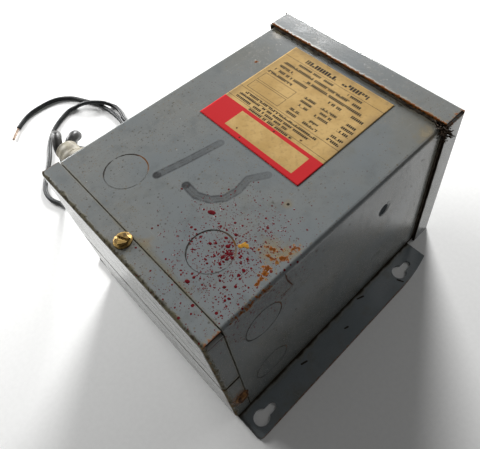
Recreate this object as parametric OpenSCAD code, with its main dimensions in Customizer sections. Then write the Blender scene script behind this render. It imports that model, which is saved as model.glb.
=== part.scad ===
// Wall-mounted dry-type transformer in a sheet-steel enclosure, lying on its back.
// X runs across the body, Y up the wall it hangs on, Z out of that wall.
// The origin is the centre of the back plane, half way up the height.

/* [Enclosure] */
// Width of the body across its side walls
body_w = 127; // [118:1:150]
// Height from the bottom end to the top of the cap
body_h = 176; // [150:1:220]
// Depth from the wall to the front face
body_d = 111; // [104:1:130]
// Thickness of the enclosure, cap and cover sheets
sheet = 1.5; // [1.2:0.1:2]
// Inside radius of the two front folds
body_bend = 0.8; // [0.4:0.1:3]
// Width of the return flanges that lie on the back plate
return_w = 12; // [8:1:18]

/* [Top cap] */
// Height of the skirt round the top cap
cap_skirt = 16; // [12:0.5:19]
// Clearance between the skirt and the body
cap_gap = 0.7; // [0.3:0.1:1.5]
// Inside radius of the folds round the cap
cap_bend = 0.6; // [0.4:0.1:2]
// Width of the open slot at each front corner of the skirt
cap_slot = 1.6; // [0.6:0.1:3]

/* [Bottom covers] */
// Height of the bands that turn up from the bottom covers
band_h = 10; // [7:0.5:13]
// Seam between a band and the body's lower edge
seam = 0.5; // [0.3:0.1:1]
// Inside radius of the folds round the covers
cover_bend = 0.4; // [0.3:0.1:2]
// Distance from the wall to the split between the two covers
split_z = 53; // [45:1:62]
// Width of the split
split_gap = 1.1; // [0.4:0.1:2]
// Width of the open slot at each front corner, along the side
corner_slot = 4; // [2:0.1:6]
// Distance by which the front band stops short of the side
corner_short = 0.5; // [0.4:0.1:2]

/* [Inner collar] */
// Thickness of the collar that backs the covers
collar_t = 1.2; // [0.8:0.1:2]
// Height of the collar's upper edge above the bottom end
collar_top = 16.5; // [15:0.5:18]
// Clearance at the collar's lower edge and folds
collar_gap = 0.3; // [0.2:0.1:0.6]

/* [Back plate] */
// Thickness of the back plate
plate_t = 1.9; // [1.5:0.1:3]
// Width of each mounting flange beside the body
flange_w = 18; // [16:0.5:24]
// Height of the flange's lower end above the bottom end
flange_low = 1; // [0.5:0.1:3]
// Distance of the flange's upper end below the cap's skirt
flange_drop = 5.5; // [2:0.5:10]
// Inward bend of the flange's upper corner
taper_w = 3.4; // [1:0.1:5]
// Length over which the upper corner bends in
taper_h = 28; // [15:1:40]
// Radius of the flange's lower corners
flange_corner = 3; // [1:0.5:6]

/* [Keyholes] */
// Radius of a keyhole's round end
key_r = 4.75; // [4:0.05:5.5]
// Radius of a keyhole's narrow end
slot_r = 2.4; // [2:0.1:3]
// Distance from the round end to the narrow end
key_rise = 8; // [6:0.5:10]
// Distance from the flange's outer edge to the keyholes
key_inset = 8.2; // [7.5:0.1:9]
// Height of the lower round ends above the bottom end
key_low = 9.8; // [8:0.1:14]
// Distance of the upper round ends below the flange's upper end
key_drop = 21.1; // [14:0.1:30]

/* [Knockouts] */
// Diameter of the knockout openings
ko_d = 22.2; // [18:0.1:24]
// Width of the cut round a knockout slug
ko_gap = 0.4; // [0.2:0.05:0.6]
// Width of the two tabs that hold a slug
ko_tab_w = 1.8; // [1:0.1:4]
// Height of the knockouts above the bottom end
ko_high = 30; // [29.5:0.5:34]
// Distance of the front knockouts from the middle
ko_front_x = 32.6; // [26:0.2:40]
// Distance of the forward side knockouts behind the front face
ko_fore_in = 25; // [20:0.5:30]
// Distance of the rear side knockouts from the wall
ko_rear_z = 31; // [26:0.5:34]

/* [Side dimples] */
// Radius of a dimple's rim
dimple_r = 5; // [3:0.1:7]
// Depth of a dimple
dimple_deep = 0.9; // [0.5:0.1:1]
// Distance of the dimples below the top
dimple_drop = 60; // [40:1:80]
// Distance of the forward dimples behind the front face
dimple_fore_in = 28; // [15:1:35]
// Distance of the rear dimples from the wall
dimple_rear_z = 33; // [20:1:40]

/* [Rating label] */
// Width of the label
label_w = 73.6; // [50:0.2:90]
// Height of the label
label_h = 74; // [50:0.5:77]
// Thickness of the label
label_t = 0.25; // [0.1:0.05:0.5]
// Distance of the label's upper edge below the cap's skirt
label_drop = 5; // [2:0.5:10]
// Offset of the label's middle to the left
label_off = 1.4; // [0:0.1:6]

/* [Core] */
// Clearance between the potted core and the enclosure
core_gap = 3; // [2.5:0.1:6]
// Height of the wiring compartment below the core
wiring_h = 46; // [43:0.5:60]

/* [Leads] */
// Diameter of an insulated lead
lead_d = 3.4; // [2:0.1:3.9]
// Diameter of the bare conductor
copper_d = 2; // [1:0.1:2.4]
// Diameter of the boot over each lead
boot_d = 6.2; // [4.6:0.1:6.6]
// Diameter of the sleeve that carries both leads
sleeve_d = 13; // [12.5:0.5:16]
// Width and thickness of the lip that holds the bushing behind the wall
bushing_lip = 1.2; // [0.8:0.1:1.8]
// Clearance between the bushing's barrel and its opening
bushing_gap = 0.25; // [0.15:0.05:0.5]
// Diameter of the bushing's outer flange
bushing_flange_d = 27; // [25:0.5:28.5]
// Thickness of the bushing's outer flange
bushing_flange_t = 2.4; // [1.5:0.1:4]
// Length of the bushing's barrel past the wall
bushing_inner = 5; // [3:0.5:8]
// Clearance between sleeve and bushing
sleeve_gap = 0.15; // [0.1:0.05:0.3]

/* [Hidden] */

$fn = 64;

// Margin by which a cutting shape runs past what it cuts
over = 1;
// Clearance between a knockout's tabs and the wall
tab_gap = 0.05;
// Number of sides of a lead and of the sleeve
lead_sides = 8;
sleeve_sides = 12;
// Side direction from which the rings of a lead or the sleeve start
first_side = [0, 1, 0.2];
// Stretches into which each step of a route is divided
route_steps = 2;
// Stretches into which the bend of the flange's upper corner is divided
bend_steps = 5;

enamel = "lightslategray";
nylon = "antiquewhite";
vinyl = "black";
copper = "peru";

// Height above the bottom end, as a Y coordinate
function up(h) = h - body_h / 2;

half_w = body_w / 2;
fold_r = sheet + body_bend;
cap_fold = sheet + cap_bend;
cover_fold = sheet + cover_bend;
cap_half = half_w + cap_gap + sheet;
cap_front = body_d + cap_gap + sheet;
core_half = half_w - sheet - core_gap;
core_z = plate_t + sheet;
core_top = body_h - sheet - core_gap;
skirt_low = body_h - cap_skirt;
flange_half = half_w + flange_w;
flange_high = skirt_low - flange_drop;
bend_edge = [for (i = [0:bend_steps]) let(t = i / bend_steps)
    [flange_half - taper_w * t * t, up(flange_high - taper_h * (1 - t))]];
key_x = flange_half - key_inset;
key_high = flange_high - key_drop;
ko_r = ko_d / 2;
ko_fore_z = body_d - ko_fore_in;
dimple_high = body_h - dimple_drop;
dimple_ball = (dimple_r * dimple_r + dimple_deep * dimple_deep) / (2 * dimple_deep);
dimple_zs = [body_d - dimple_fore_in, dimple_rear_z];
label_low = skirt_low - label_drop - label_h;
bushing_bore = sleeve_d / 2 + sleeve_gap;

// Where the leads leave the sleeve, and the routes of the two leads from there.
// A height of 0 means lying on the floor.
sleeve_end = [-97, -66, 83];
route_a = [[-97, -62.6, 83], [-98, -62.6, 83], [-99, -62.6, 83], [-101, -61, 84], [-104, -57, 83.5],
    [-108, -55, 79], [-113, -55, 73], [-120, -55, 65], [-132, -54, 50], [-144, -48, 33],
    [-153, -36, 16], [-157, -22, 4], [-163, -11, 0], [-171, -5.5, 0], [-181, -2.5, 0], [-195, -2, 0],
    [-210, -4, 0], [-219, -7.5, 0], [-228, -11.5, 0], [-238, -17, 0], [-246, -27, 0], [-248, -40, 0],
    [-246, -54, 0], [-238, -67, 0]];
route_b = [[-97, -69.4, 83], [-98, -69.4, 83], [-99, -69.4, 83], [-102, -68.5, 84.5], [-106, -66.5, 86],
    [-110, -65, 85], [-115, -65, 81], [-120, -66, 72], [-122, -67, 57], [-122, -71, 40],
    [-125, -77, 22], [-131, -80, 8], [-141, -82, 0], [-150, -85, 0], [-160, -84, 0], [-169, -79, 0],
    [-187, -66, 0], [-201, -58, 0], [-212, -49, 0], [-220, -38, 0], [-225, -26, 0], [-223, -18, 3],
    [-217, -11, 5.6], [-208, -2, 5], [-203, 2.5, 2], [-197, 4, 0], [-189, 3, 0], [-181, 1, 0],
    [-170, 0, 0]];
tip_a = [-229, -76, 0];
tip_b = [-158, 0, 0];
// Length of the sleeve's straight steps at both ends
sleeve_tail = 5;
// Step of each route at which the boot ends
boot_steps = 6;
sleeve_route = [[-half_w + sheet + bushing_inner, up(ko_high), ko_fore_z],
    [-half_w - bushing_flange_t, up(ko_high), ko_fore_z],
    [-half_w - bushing_flange_t - sleeve_tail, up(ko_high), ko_fore_z],
    (sleeve_end + [-half_w - bushing_flange_t, up(ko_high), ko_fore_z]) / 2,
    sleeve_end + [2 * sleeve_tail, 0, 0], sleeve_end + [sleeve_tail, 0, 0], sleeve_end];

function unit(v) = v / norm(v);

// Point at share t of the way from b to c on a smooth curve through a, b, c and d
function curve_point(a, b, c, d, t) =
    (2 * b + (c - a) * t + (2 * a - 5 * b + 4 * c - d) * t * t
        + (3 * b - a - 3 * c + d) * t * t * t) / 2;

// A route's points with smooth points between them, none lower than the floor allows
function smooth_route(p, low) = let(last = len(p) - 1)
    [for (i = [0:last - 1]) for (j = [0:route_steps - 1])
        lifted(curve_point(p[max(i - 1, 0)], p[i], p[i + 1], p[min(i + 2, last)],
            j / route_steps), low),
    lifted(p[last], low)];
function lifted(p, low) = [p.x, p.y, max(p.z, low)];

// Direction of travel at each point of a smooth route
function headings(p) = let(last = len(p) - 1)
    [for (i = [0:last]) unit(p[min(i + 1, last)] - p[max(i - 1, 0)])];

// Side direction at each point, carried along the route without twisting
function sides_along(h, side, i = 0) = i == len(h) ? []
    : let(s = unit(side - (side * h[i]) * h[i])) concat([s], sides_along(h, s, i + 1));

// Solid rod along points first to last of a smooth route
module swept_rod(p, first, last, r, sides) {
    h = headings(p);
    s = sides_along(h, first_side);
    rings = [for (i = [first:last]) for (k = [0:sides - 1])
        p[i] + r * (cos(360 * k / sides) * s[i] + sin(360 * k / sides) * cross(h[i], s[i]))];
    span = last - first;
    walls = [for (i = [0:span - 1]) for (k = [0:sides - 1])
        let(a = i * sides + k, b = i * sides + (k + 1) % sides)
            each [[a, a + sides, b], [b, a + sides, b + sides]]];
    near_end = [for (k = [0:sides - 1]) k];
    far_end = [for (k = [sides - 1:-1:0]) span * sides + k];
    polyhedron(rings, concat(walls, [near_end, far_end]));
}

// Extrusions of a flat section along each axis
module along_x(x0, x1) {
    translate([x1, 0, 0]) rotate([0, -90, 0]) linear_extrude(x1 - x0) children();
}
module along_y(y0, y1) {
    translate([0, y1, 0]) rotate([90, 0, 0]) linear_extrude(y1 - y0) children();
}
module along_z(z0, z1) {
    translate([0, 0, z0]) linear_extrude(z1 - z0) children();
}

// Rectangle standing on the X axis, with both upper corners rounded
module two_folds(w, h, r) {
    translate([-w / 2, 0]) square([w, h - r]);
    translate([r - w / 2, 0]) square([w - 2 * r, h]);
    for (side = [-1, 1]) translate([side * (w / 2 - r), h - r]) circle(r);
}

// Rectangle from the origin, with the far upper corner rounded
module one_fold(w, h, r) {
    square([w, h - r]);
    square([w - r, h]);
    translate([w - r, h - r]) circle(r);
}

// Block under the plane Y = 0, rounded along its side and front edges
module folded_block(w, z0, z1, h, r) {
    intersection() {
        along_z(z0, z1) translate([0, -h]) two_folds(w, h, r);
        along_x(-w / 2, w / 2) translate([z0, -h]) one_fold(z1 - z0, h, r);
    }
}

// Folded pan with a front and two side walls, open at the back
module pan(w, z0, z1, h, r) {
    difference() {
        folded_block(w, z0, z1, h, r);
        translate([0, -sheet, 0])
            folded_block(w - 2 * sheet, z0 - over, z1 - sheet, h, r - sheet);
    }
}

// Ball whose lower part presses a dimple into a side wall
module dimple_press(side, z) {
    translate([side * (half_w + dimple_ball - dimple_deep), up(dimple_high), z]) sphere(dimple_ball);
}

// Opening of a knockout in the front or in a side wall
module front_opening(side) {
    translate([side * ko_front_x, up(ko_high), body_d - sheet - over])
        cylinder(d = ko_d, h = sheet + 2 * over);
}
module side_opening(side, z) {
    translate([side * (half_w + over), up(ko_high), z]) rotate([0, -90 * side, 0])
        cylinder(d = ko_d, h = sheet + 2 * over);
}

// Slug of a knockout, held in its opening by two tabs, lying on Z = 0
module slug(tab_turn) {
    cylinder(r = ko_r - ko_gap, h = sheet);
    intersection() {
        cylinder(r = ko_r - tab_gap, h = sheet);
        rotate(tab_turn) translate([-ko_r, -ko_tab_w / 2, 0]) cube([ko_d, ko_tab_w, sheet]);
    }
}
module front_slug(side, tab_turn) {
    color(enamel) translate([side * ko_front_x, up(ko_high), body_d - sheet]) slug(tab_turn);
}
module side_slug(side, z, tab_turn) {
    color(enamel) translate([side * (half_w - sheet), up(ko_high), z])
        rotate([0, 90 * side, 0]) slug(tab_turn);
}

// Front and both sides in one sheet, with return flanges on the back plate
module enclosure_wrap() {
    color(enamel) difference() {
        along_y(up(band_h + seam), up(body_h - sheet)) translate([0, plate_t]) {
            difference() {
                two_folds(body_w, body_d - plate_t, fold_r);
                translate([0, -over]) two_folds(body_w - 2 * sheet,
                    body_d - plate_t - sheet + over, fold_r - sheet);
            }
            for (x = [-half_w, half_w - return_w]) translate([x, 0]) square([return_w, sheet]);
        }
        for (side = [-1, 1]) {
            front_opening(side);
            for (z = [ko_fore_z, ko_rear_z]) side_opening(side, z);
            for (z = dimple_zs) dimple_press(side, z);
        }
    }
}

// Outline of the back plate, wider than the body below the cap
module plate_outline() {
    flange_h = flange_high - flange_low;
    intersection() {
        translate([0, up(flange_high)]) mirror([0, 1]) two_folds(2 * flange_half, flange_h, flange_corner);
        polygon(concat([[-flange_half, up(flange_low)], [flange_half, up(flange_low)]], bend_edge,
            [for (i = [bend_steps:-1:0]) [-bend_edge[i].x, bend_edge[i].y]]));
    }
    translate([-half_w, up(flange_low + flange_corner)])
        square([body_w, body_h - sheet - flange_low - flange_corner]);
}

// Keyhole with its narrow end upwards
module keyhole() {
    circle(key_r);
    translate([-slot_r, 0]) square([2 * slot_r, key_rise]);
    translate([0, key_rise]) circle(slot_r);
}

// Plate against the wall, with a keyhole at each end of both flanges
module back_plate() {
    color(enamel) along_z(0, plate_t) difference() {
        plate_outline();
        for (side = [-1, 1]) for (h = [key_low, key_high])
            translate([side * key_x, up(h)]) keyhole();
    }
}

// Pan over the upper end, with an open slot at both front corners
module top_cap() {
    color(enamel) difference() {
        translate([0, up(body_h), 0]) pan(2 * cap_half, 0, cap_front, cap_skirt, cap_fold);
        for (side = [0, 1]) mirror([side, 0, 0])
            translate([cap_half - cap_slot, up(body_h - cap_skirt - over), cap_front - cap_slot])
                cube([cap_slot + over, cap_skirt - cap_fold + over, cap_slot + over]);
    }
}

// Removable cover of the wiring compartment, with open front corners
module bottom_cover_front() {
    color(enamel) difference() {
        translate([0, up(0), 0]) mirror([0, 1, 0])
            pan(body_w, split_z + split_gap / 2, body_d, band_h, cover_fold);
        for (side = [0, 1]) mirror([side, 0, 0])
            translate([half_w - corner_short, up(sheet), body_d - corner_slot])
                cube([corner_short + over, band_h, corner_slot + over]);
        for (side = [0, 1]) mirror([side, 0, 0])
            translate([half_w - sheet - over, up(cover_fold), body_d - corner_slot])
                cube([sheet + 2 * over, band_h, corner_slot - sheet]);
    }
}

// Fixed cover behind the split, seated on the back plate
module bottom_cover_rear() {
    color(enamel) along_z(plate_t, split_z - split_gap / 2) translate([0, up(band_h)]) mirror([0, 1])
        difference() {
            two_folds(body_w, band_h, cover_fold);
            translate([0, -sheet]) two_folds(body_w - 2 * sheet, band_h, cover_fold - sheet);
        }
}

// Strip inside the lower edge, which the covers lap and screw to
module inner_collar() {
    outer_w = body_w - 2 * sheet;
    reach = body_d - sheet - core_z;
    collar_fold = fold_r - sheet + collar_gap + collar_t;
    color(enamel) along_y(up(cover_fold + collar_gap), up(collar_top)) translate([0, core_z]) difference() {
        two_folds(outer_w, reach, collar_fold);
        translate([0, -over])
            two_folds(outer_w - 2 * collar_t, reach - collar_t + over, collar_fold - collar_t);
    }
}

module knockout_front_left() front_slug(-1, 0);
module knockout_front_right() front_slug(1, 0);
module knockout_right_fore() side_slug(1, ko_fore_z, 35);
module knockout_right_rear() side_slug(1, ko_rear_z, 120);
module knockout_left_rear() side_slug(-1, ko_rear_z, 35);

// Core and coils cast in resin, seated on the return flanges
module potted_core() {
    color("dimgray") translate([-core_half, up(wiring_h), core_z])
        cube([2 * core_half, core_top - wiring_h, body_d - sheet - core_gap - core_z]);
}

module rating_label() {
    color("tan") translate([-label_w / 2 - label_off, up(label_low), body_d])
        cube([label_w, label_h, label_t]);
}

// Bushing in the left opening, with a flange outside and a lip behind the wall
module lead_bushing() {
    barrel = ko_r - bushing_gap;
    lip = ko_r + bushing_lip;
    color(nylon) translate([-half_w, up(ko_high), ko_fore_z]) rotate([0, 90, 0]) rotate_extrude()
        translate([bushing_bore, 0]) {
            translate([0, -bushing_flange_t])
                square([bushing_flange_d / 2 - bushing_bore, bushing_flange_t]);
            square([barrel - bushing_bore, sheet + bushing_inner]);
            translate([0, sheet + bushing_gap]) square([lip - bushing_bore, bushing_lip]);
        }
}

module lead_sleeve() {
    path = smooth_route(sleeve_route, lead_d);
    color(nylon) swept_rod(path, 0, len(path) - 1, sleeve_d / 2, sleeve_sides);
}

// Boot over the start of a lead, then the lead itself, then its bare end
module lead_boot(route) {
    color(vinyl) swept_rod(smooth_route(route, lead_d / 2), 0, boot_steps * route_steps,
        boot_d / 2, lead_sides);
}
module lead(route) {
    path = smooth_route(route, lead_d / 2);
    color(vinyl) swept_rod(path, boot_steps * route_steps, len(path) - 1, lead_d / 2, lead_sides);
}
module conductor(route, tip) {
    path = [lifted(route[len(route) - 1], lead_d / 2), lifted(tip, lead_d / 2)];
    color(copper) swept_rod(path, 0, 1, copper_d / 2, lead_sides);
}

module lead_boot_a() lead_boot(route_a);
module lead_boot_b() lead_boot(route_b);
module lead_a() lead(route_a);
module lead_b() lead(route_b);
module conductor_a() conductor(route_a, tip_a);
module conductor_b() conductor(route_b, tip_b);

enclosure_wrap();
back_plate();
top_cap();
bottom_cover_front();
bottom_cover_rear();
inner_collar();
knockout_front_left();
knockout_front_right();
knockout_right_fore();
knockout_right_rear();
knockout_left_rear();
potted_core();
rating_label();
lead_bushing();
lead_sleeve();
lead_boot_a();
lead_boot_b();
lead_a();
lead_b();
conductor_a();
conductor_b();
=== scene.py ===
"""Looks of a worn wall-mounted dry-type transformer that lies on its back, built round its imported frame."""

import logging
from dataclasses import dataclass
from enum import Enum
from functools import reduce
from typing import Optional, Sequence, Union

import bmesh
import bpy
import numpy as np
from mathutils import Matrix, Vector


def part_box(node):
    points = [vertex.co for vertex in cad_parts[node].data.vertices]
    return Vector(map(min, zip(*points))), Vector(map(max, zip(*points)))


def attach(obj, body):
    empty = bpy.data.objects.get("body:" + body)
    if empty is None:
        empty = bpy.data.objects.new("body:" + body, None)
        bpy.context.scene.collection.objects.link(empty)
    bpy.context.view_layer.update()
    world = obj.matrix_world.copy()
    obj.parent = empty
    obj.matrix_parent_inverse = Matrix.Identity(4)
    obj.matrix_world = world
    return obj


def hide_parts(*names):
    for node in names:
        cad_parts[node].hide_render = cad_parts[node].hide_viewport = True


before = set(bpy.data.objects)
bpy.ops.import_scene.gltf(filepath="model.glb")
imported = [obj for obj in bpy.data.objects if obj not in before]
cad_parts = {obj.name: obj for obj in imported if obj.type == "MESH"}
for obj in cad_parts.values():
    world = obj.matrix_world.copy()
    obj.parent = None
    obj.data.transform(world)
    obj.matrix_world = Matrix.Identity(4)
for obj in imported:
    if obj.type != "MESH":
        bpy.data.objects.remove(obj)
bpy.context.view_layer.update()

LOG = logging.getLogger("transformer")
MM = 0.001

Colour = tuple[float, float, float]
Place = tuple[float, float, float]
Spot = tuple[float, float]
Row = tuple[float, float, tuple[Spot, ...]]
Wire = Union[bpy.types.NodeSocket, float]
Finish = bpy.types.Material
Piece = bpy.types.Object


@dataclass(frozen=True)
class Layout:
    """Faces and edges of the enclosure, in metres, and the places of its fittings, in millimetres."""

    left: float
    right: float
    bottom: float
    top: float
    front: float
    skirt: float
    seam: float
    plate: float
    front_screw: Spot = (0.0, 6.5)
    side_screw: Spot = (7.3, 25.5)
    knockout: Spot = (32.6, 30.0)
    spatter: Spot = (40.0, 34.0)

    @classmethod
    def from_frame(cls) -> "Layout":
        """Reads the faces of the body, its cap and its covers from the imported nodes."""
        wrap_low, wrap_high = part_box("enclosure_wrap")
        cap_low, cap_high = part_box("top_cap")
        cover_low, cover_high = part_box("bottom_cover_front")
        return cls(left=wrap_low.x, right=wrap_high.x, bottom=cover_low.y, top=cap_high.y,
                   front=wrap_high.z, skirt=cap_low.y, seam=(wrap_low.y + cover_high.y) / 2,
                   plate=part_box("back_plate")[1].z)

    def on_front(self, across: float, up: float) -> Place:
        """Point on the front, given in millimetres from the middle and above the bottom end."""
        return (across * MM, self.bottom + up * MM, self.front)

    def on_right(self, up: float, out: float) -> Place:
        """Point on the right side, given in millimetres above the bottom end and out of the wall."""
        return (self.right, self.bottom + up * MM, out * MM)


LAYOUT = Layout.from_frame()


class Coat:
    """Layers of one finish, from the paint outwards, and the nodes that draw them."""

    def __init__(self, name: str, colour: Colour, roughness: float) -> None:
        """Starts a material with its lowest layer; its patterns read Object coordinates."""
        self.material = bpy.data.materials.new(name)
        self.material.use_nodes = True
        self.tree = self.material.node_tree
        self.tree.nodes.clear()
        self.source = self.node("ShaderNodeTexCoord").outputs
        self.place = self.source["Object"]
        self.x, self.y, self.z = self.node("ShaderNodeSeparateXYZ", {0: self.place}).outputs
        self.colour: object = colour
        self.roughness: Wire = roughness
        self.height: Wire = 0.0

    def node(self, kind: str, feeds: Optional[dict] = None, **settings: object) -> bpy.types.Node:
        """Adds a node of one kind, sets its options and feeds its sockets, by name or number."""
        made = self.tree.nodes.new(kind)
        for key, value in settings.items():
            setattr(made, key, value)
        for key, value in (feeds or {}).items():
            self.feed(made.inputs[key], value)
        return made

    def feed(self, socket: bpy.types.NodeSocket, value: object) -> None:
        """Joins a wire to a socket, or sets the socket to a constant."""
        if isinstance(value, bpy.types.NodeSocket):
            self.tree.links.new(value, socket)
        elif isinstance(value, tuple) and socket.type == "RGBA":
            socket.default_value = (*value, 1.0)
        else:
            socket.default_value = value

    def unwrapped(self) -> Sequence[Wire]:
        """Both parts of the piece's own UV."""
        return self.node("ShaderNodeSeparateXYZ", {0: self.source["UV"]}).outputs[:2]

    def math(self, operation: str, *values: Wire) -> Wire:
        """Result of one arithmetic step, such as MULTIPLY."""
        return self.node("ShaderNodeMath", dict(enumerate(values)), operation=operation).outputs[0]

    def fold(self, operation: str, values: Sequence[Wire]) -> Wire:
        """Result of one arithmetic step taken through several values."""
        return reduce(lambda a, b: self.math(operation, a, b), values)

    def times(self, *values: Wire) -> Wire:
        """Product of several values."""
        return self.fold("MULTIPLY", values)

    def plus(self, *values: Wire) -> Wire:
        """Sum of several values."""
        return self.fold("ADD", values)

    def most(self, *values: Wire) -> Wire:
        """Largest of several values."""
        return self.fold("MAXIMUM", values)

    def least(self, *values: Wire) -> Wire:
        """Smallest of several values."""
        return self.fold("MINIMUM", values)

    def less(self, a: Wire, b: Wire) -> Wire:
        """First value less the second."""
        return self.math("SUBTRACT", a, b)

    def apart(self, a: Wire, b: Wire) -> Wire:
        """How far two values lie apart."""
        return self.math("ABSOLUTE", self.less(a, b))

    def above(self, value: Wire, limit: Wire) -> Wire:
        """1 where a value lies above a limit, and 0 elsewhere."""
        return self.math("GREATER_THAN", value, limit)

    def below(self, value: Wire, limit: Wire) -> Wire:
        """1 where a value lies below a limit, and 0 elsewhere."""
        return self.math("LESS_THAN", value, limit)

    def within(self, value: Wire, low: float, high: float) -> Wire:
        """1 where a value lies between two limits, and 0 elsewhere."""
        return self.math("COMPARE", value, (low + high) / 2, (high - low) / 2)

    def near(self, distance: Wire, reach: float, ragged: Wire, edge: float = 0.5) -> Wire:
        """1 well within reach of something and 0 beyond it, with a ragged edge.

        Args:
            distance: distance from the thing, in metres.
            reach: how far the mask reaches, in millimetres.
            ragged: noise between 0 and 1 that shifts the edge.
            edge: share of the reach at which the mask is whole.

        Returns:
            The mask's wire.
        """
        reach = reach * MM
        shifted = self.math("MULTIPLY_ADD", self.less(ragged, 0.5), 1.6 * reach, distance)
        return self.ease(shifted, reach, edge * reach)

    def ease(self, value: Wire, low: float, high: float, start: float = 0.0, end: float = 1.0) -> Wire:
        """Smooth step of a value from start at low to end at high; low may be the larger one."""
        feeds = dict(enumerate((value, low, high, start, end)))
        return self.node("ShaderNodeMapRange", feeds, interpolation_type="SMOOTHSTEP").outputs[0]

    def stretched(self, sizes: Place, turn: Place) -> Wire:
        """Coordinates stretched by a factor on each axis and turned by angles in radians."""
        feeds = {"Vector": self.place, "Rotation": turn, "Scale": sizes}
        return self.node("ShaderNodeMapping", feeds).outputs[0]

    def noise(self, scale: float, detail: float = 4.0, roughness: float = 0.55,
              source: Optional[Wire] = None) -> Wire:
        """Cloudy noise between 0 and 1, with a scale in clouds a metre."""
        feeds = {"Vector": self.place if source is None else source, "Scale": scale, "Detail": detail,
                 "Roughness": roughness}
        return self.node("ShaderNodeTexNoise", feeds).outputs["Fac"]

    def specks(self, scale: float, size: float, keep: Wire) -> Wire:
        """Round specks of mixed sizes.

        A cell holds a speck where its random number lies under the share to keep, and the speck's
        radius is the given share of the cell times another random number.

        Args:
            scale: cells a metre.
            size: largest radius, as a share of a cell.
            keep: share of the cells that hold a speck.

        Returns:
            A mask, 1 on the specks.
        """
        cells = self.node("ShaderNodeTexVoronoi", {"Vector": self.place, "Scale": scale}).outputs
        chance = self.node("ShaderNodeSeparateColor", {0: cells["Color"]}).outputs
        inside = self.below(cells["Distance"], self.times(size, chance[1]))
        return self.times(self.below(chance[0], keep), inside)

    def vector(self, operation: str, feeds: dict) -> Sequence[Wire]:
        """Both outputs of one vector step: its vector and its value."""
        return self.node("ShaderNodeVectorMath", feeds, operation=operation).outputs

    def from_point(self, point: Place) -> Wire:
        """Distance from a point, in metres."""
        return self.vector("DISTANCE", {0: self.place, 1: point})["Value"]

    def from_line(self, start: Place, end: Place) -> Wire:
        """Distance from a straight line between two points, in metres.

        The share along the line is the dot product of the offset from its start with its direction,
        over the direction's square, kept between 0 and 1.
        """
        span = Vector(end) - Vector(start)
        offset = self.vector("SUBTRACT", {0: self.place, 1: start})[0]
        along = self.vector("DOT_PRODUCT", {0: offset, 1: tuple(span / span.length_squared)})["Value"]
        share = self.most(self.least(along, 1.0), 0.0)
        foot = self.vector("SCALE", {0: tuple(span), "Scale": share})[0]
        return self.vector("DISTANCE", {0: offset, 1: foot})["Value"]

    def from_route(self, points: Sequence[Place]) -> Wire:
        """Distance from a chain of straight lines, in metres."""
        return self.least(*(self.from_line(a, b) for a, b in zip(points[:-1], points[1:])))

    def lay(self, colour: Colour, roughness: Optional[float], *masks: Wire, lift: float = 0.0) -> None:
        """Lays another layer over those before it.

        Args:
            colour: the layer's colour.
            roughness: the layer's roughness, or None to keep the one below.
            masks: factors of the mask, which is 1 where the layer is whole.
            lift: how far the layer stands up, in units of the finish's relief.
        """
        mask = self.times(*masks)
        colours = {0: mask, 6: self.colour, 7: colour}
        self.colour = self.node("ShaderNodeMix", colours, data_type="RGBA").outputs[2]
        if roughness is not None:
            numbers = {0: mask, 2: self.roughness, 3: roughness}
            self.roughness = self.node("ShaderNodeMix", numbers, data_type="FLOAT").outputs[0]
        if lift:
            self.height = self.plus(self.height, self.times(mask, lift))

    def finish(self, height: Optional[Wire] = None, relief: float = 0.0, specular: Wire = 0.5,
               metallic: float = 0.0) -> Finish:
        """Joins the layers to a shader and returns the material.

        Args:
            height: surface relief, in units of the relief argument.
            relief: millimetres that one unit of height stands for.
            specular: strength of the sheen.
            metallic: metallic share.

        Returns:
            The finished material.
        """
        feeds = {"Base Color": self.colour, "Roughness": self.roughness, "Metallic": metallic,
                 "Specular IOR Level": specular}
        if height is not None:
            bump = self.node("ShaderNodeBump", {"Distance": relief * MM, "Height": height})
            feeds["Normal"] = bump.outputs[0]
        shader = self.node("ShaderNodeBsdfPrincipled", feeds)
        self.node("ShaderNodeOutputMaterial", {0: shader.outputs[0]})
        return self.material


def grid_faces(rows: int, columns: int, closed: bool) -> np.ndarray:
    """Quads of a grid of points numbered row by row, whose rows may run round to their start."""
    wide = columns if closed else columns - 1
    row, column = np.meshgrid(np.arange(rows - 1), np.arange(wide), indexing="ij")
    nearer = row * columns + column
    beside = row * columns + (column + 1) % columns
    return np.stack([nearer, beside, beside + columns, nearer + columns], axis=-1).reshape(-1, 4)


def grid_piece(name: str, grids: np.ndarray, closed: bool, finish: Finish, slot: str,
               unwrapped: Optional[np.ndarray] = None) -> Piece:
    """Makes one piece of one or more grids of points, merges its poles and seats it on the frame.

    Args:
        name: the piece's name.
        grids: points in metres, as copies by rows by columns by 3.
        closed: whether each row runs round to its start.
        finish: the piece's material.
        slot: the record's material slot.
        unwrapped: UV of each point, in the same order, if the finish needs one.

    Returns:
        The piece.
    """
    copies, rows, columns = grids.shape[:3]
    starts = np.arange(copies) * rows * columns
    quads = (grid_faces(rows, columns, closed)[None] + starts[:, None, None]).reshape(-1, 4)
    mesh = bpy.data.meshes.new(name)
    mesh.from_pydata(grids.reshape(-1, 3).tolist(), [], quads.tolist())
    if unwrapped is not None:
        layer = mesh.uv_layers.new(name="sheet")
        layer.data.foreach_set("uv", unwrapped.reshape(-1, 2)[quads.ravel()].astype(np.float32).ravel())
    work = bmesh.new()
    work.from_mesh(mesh)
    bmesh.ops.remove_doubles(work, verts=work.verts, dist=1e-8)
    if closed:
        bmesh.ops.recalc_face_normals(work, faces=work.faces)
    work.to_mesh(mesh)
    work.free()
    mesh.polygons.foreach_set("use_smooth", np.ones(len(mesh.polygons), bool))
    mesh.materials.append(finish)
    return seat(bpy.data.objects.new(name, mesh), slot)


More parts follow.
